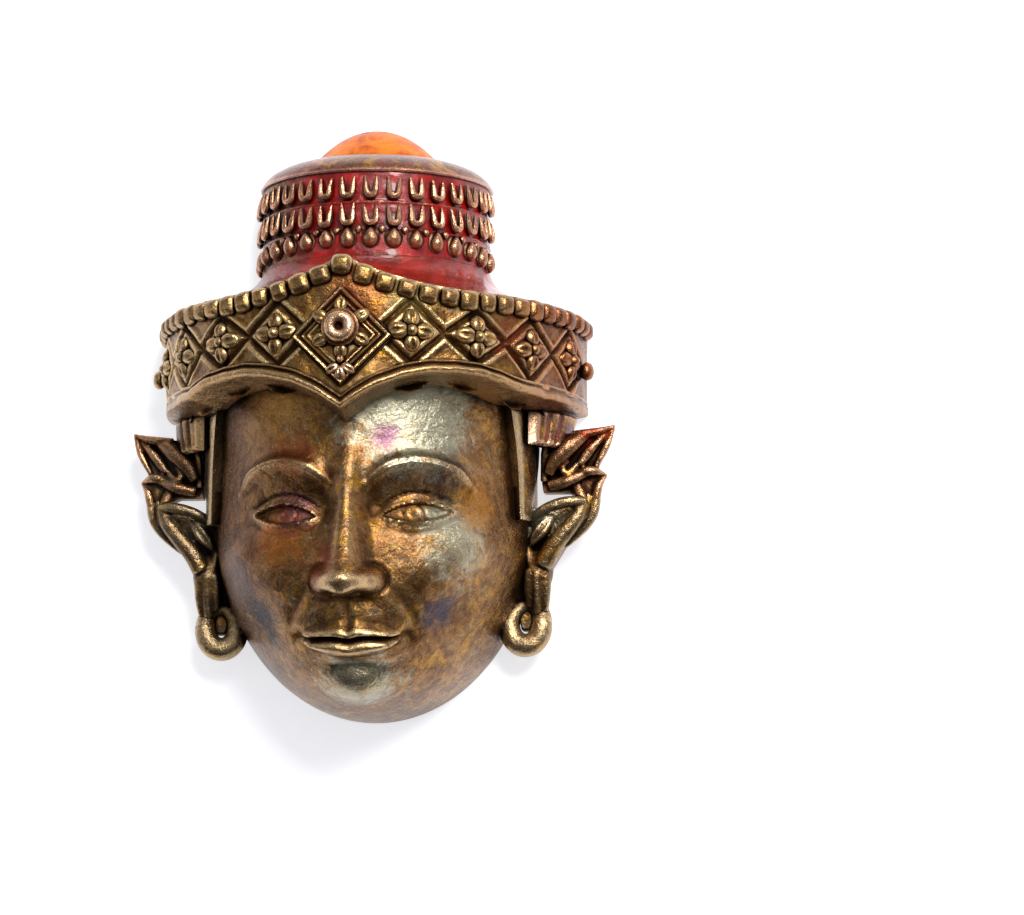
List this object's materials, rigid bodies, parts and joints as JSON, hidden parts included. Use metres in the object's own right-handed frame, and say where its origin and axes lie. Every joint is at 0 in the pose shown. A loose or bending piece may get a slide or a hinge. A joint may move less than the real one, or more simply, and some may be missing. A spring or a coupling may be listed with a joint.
{
  "type": "cast metal mask",
  "caption": "Miniature cast bronze mask with a calm face, pointed diadem, drum-shaped crown with leaf rows and domed top, flame-tipped ears and hoop earrings, open at the back.",
  "frame": {"origin": "middle of the flat back, in the plane that the mask lies on", "axes": "+X towards the mask's left (the viewer's right), +Y from chin to crown, +Z out of the face"},
  "size_m": [0.0234, 0.0286, 0.0127],
  "materials": {
    "bronze": "aged cast bronze, dark in the recesses and rubbed bright on the edges",
    "red_lacquer": "glossy translucent deep red lacquer over bronze, worn off the high points",
    "aged_copper": "smooth brown-pink aged metal, satin",
    "orange_lacquer": "glossy orange lacquer"
  },
  "bodies": {
    "root": {"brow_moulding": "bronze", "crest_boss": "bronze", "crest_flower": "bronze", "crest_pendant": "bronze", "crest_plate": "bronze", "crown_brim": "red_lacquer", "crown_collar": "aged_copper", "crown_dome": "orange_lacquer", "crown_drum": "red_lacquer", "drop_row": "red_lacquer", "ear_flame_left": "bronze", "ear_flame_right": "bronze", "ear_left": "bronze", "ear_right": "bronze", "earring_left": "bronze", "earring_right": "bronze", "face_shell": "bronze", "lower_leaf_row": "red_lacquer", "rosette_petals": "bronze", "rosette_studs": "bronze", "side_studs": "bronze", "temple_panel_left": "red_lacquer", "temple_panel_right": "bronze", "temple_strip_left": "bronze", "temple_strip_right": "bronze", "tiara_band": "bronze", "tiara_beads": "bronze", "upper_leaf_row": "red_lacquer"}
  },
  "joints": []
}
